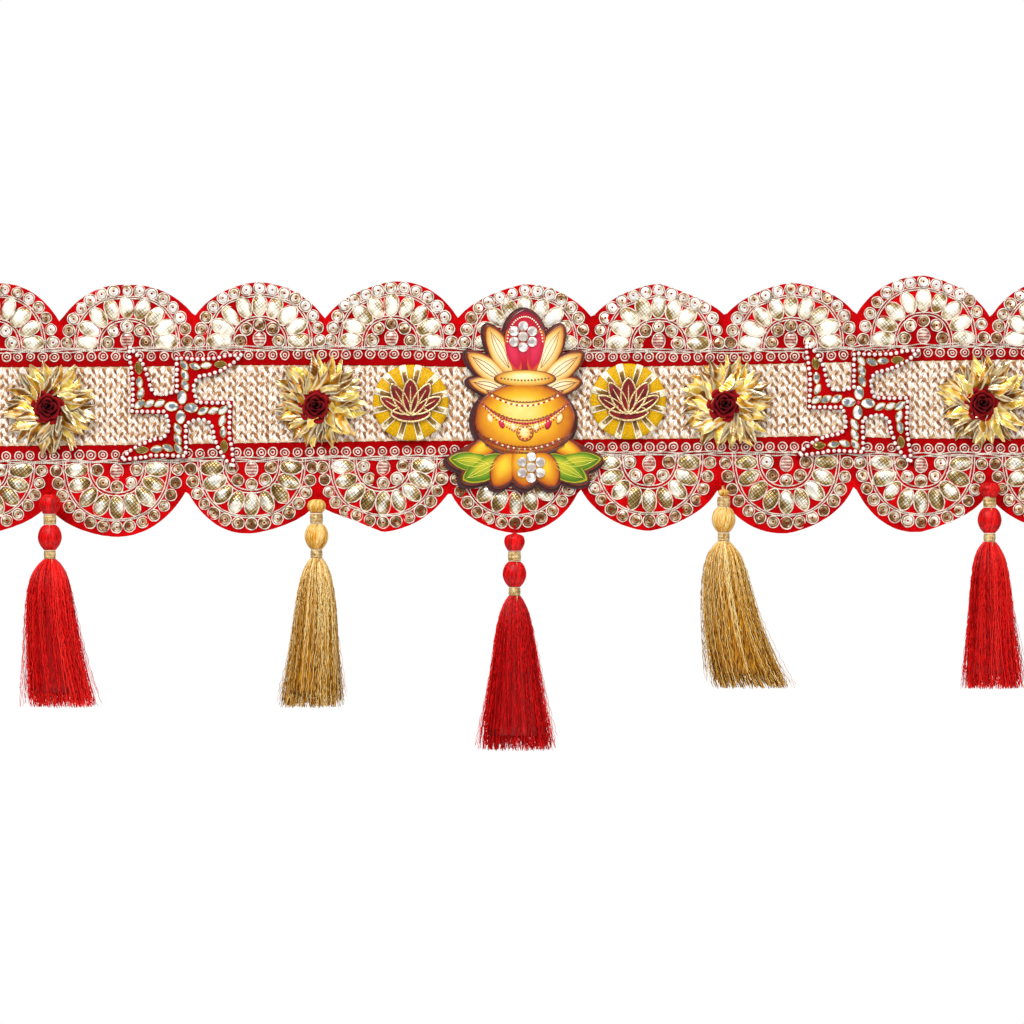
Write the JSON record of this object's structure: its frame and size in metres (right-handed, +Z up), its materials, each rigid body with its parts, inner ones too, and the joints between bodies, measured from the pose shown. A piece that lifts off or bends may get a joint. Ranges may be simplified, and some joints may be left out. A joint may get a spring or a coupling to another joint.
{
  "type": "toran door hanging",
  "caption": "Scalloped embroidered hanging for above a door, with a woven band, folded foil rosettes, felt motifs, a flat plaque and hanging tassels.",
  "frame": {"origin": "middle of the top edge, at the tip of the middle upper scallop, in the plane of the wall behind", "axes": "+X along the band to the viewer's right, +Z up, -Y out of the wall towards the viewer"},
  "size_m": [1.016, 0.037, 0.4017],
  "materials": {
    "red_cloth": "matt red cloth",
    "woven_braid": "cream and gold chevron braid",
    "gold_foil": "thin bright gold ribbon, folded",
    "rose_cloth": "dark red velvet",
    "red_felt": "red felt",
    "yellow_thread": "wound yellow silk thread",
    "maroon_plate": "maroon with gold relief lines",
    "dark_board": "thin board, painted dark maroon",
    "printed_sheet": "glossy printed sheet",
    "clear_stone": "faceted clear stones with gold rims",
    "red_silk": "shiny red tassel silk",
    "gold_silk": "shiny gold tassel silk",
    "gold_thread": "wound gold thread"
  },
  "bodies": {
    "root": {"base_strip": "red_cloth", "upper_border": "red_cloth", "lower_border": "red_cloth", "woven_band": "woven_braid", "foil_rosette_1": "gold_foil", "cloth_rose_1": "rose_cloth", "foil_rosette_2": "gold_foil", "cloth_rose_2": "rose_cloth", "foil_rosette_3": "gold_foil", "cloth_rose_3": "rose_cloth", "foil_rosette_4": "gold_foil", "cloth_rose_4": "rose_cloth", "felt_motif_left": "red_felt", "wound_disc_left": "yellow_thread", "lotus_badge_left": "maroon_plate", "felt_motif_right": "red_felt", "wound_disc_right": "yellow_thread", "lotus_badge_right": "maroon_plate", "plaque_board": "dark_board", "plaque_print": "printed_sheet", "stone_flower_upper": "clear_stone", "stone_flower_lower": "clear_stone", "tassel_one_knob": "red_silk", "tassel_one_neck": "gold_thread", "tassel_one_ball": "red_silk", "tassel_one_waist": "gold_thread", "tassel_one_skirt": "red_silk", "tassel_two_knob": "gold_silk", "tassel_two_neck": "gold_thread", "tassel_two_ball": "gold_silk", "tassel_two_waist": "gold_thread", "tassel_two_skirt": "gold_silk", "tassel_three_knob": "red_silk", "tassel_three_neck": "gold_thread", "tassel_three_ball": "red_silk", "tassel_three_waist": "gold_thread", "tassel_three_skirt": "red_silk", "tassel_four_knob": "gold_silk", "tassel_four_neck": "gold_thread", "tassel_four_ball": "gold_silk", "tassel_four_waist": "gold_thread", "tassel_four_skirt": "gold_silk", "tassel_five_knob": "red_silk", "tassel_five_neck": "gold_thread", "tassel_five_ball": "red_silk", "tassel_five_waist": "gold_thread", "tassel_five_skirt": "red_silk"}
  },
  "joints": []
}
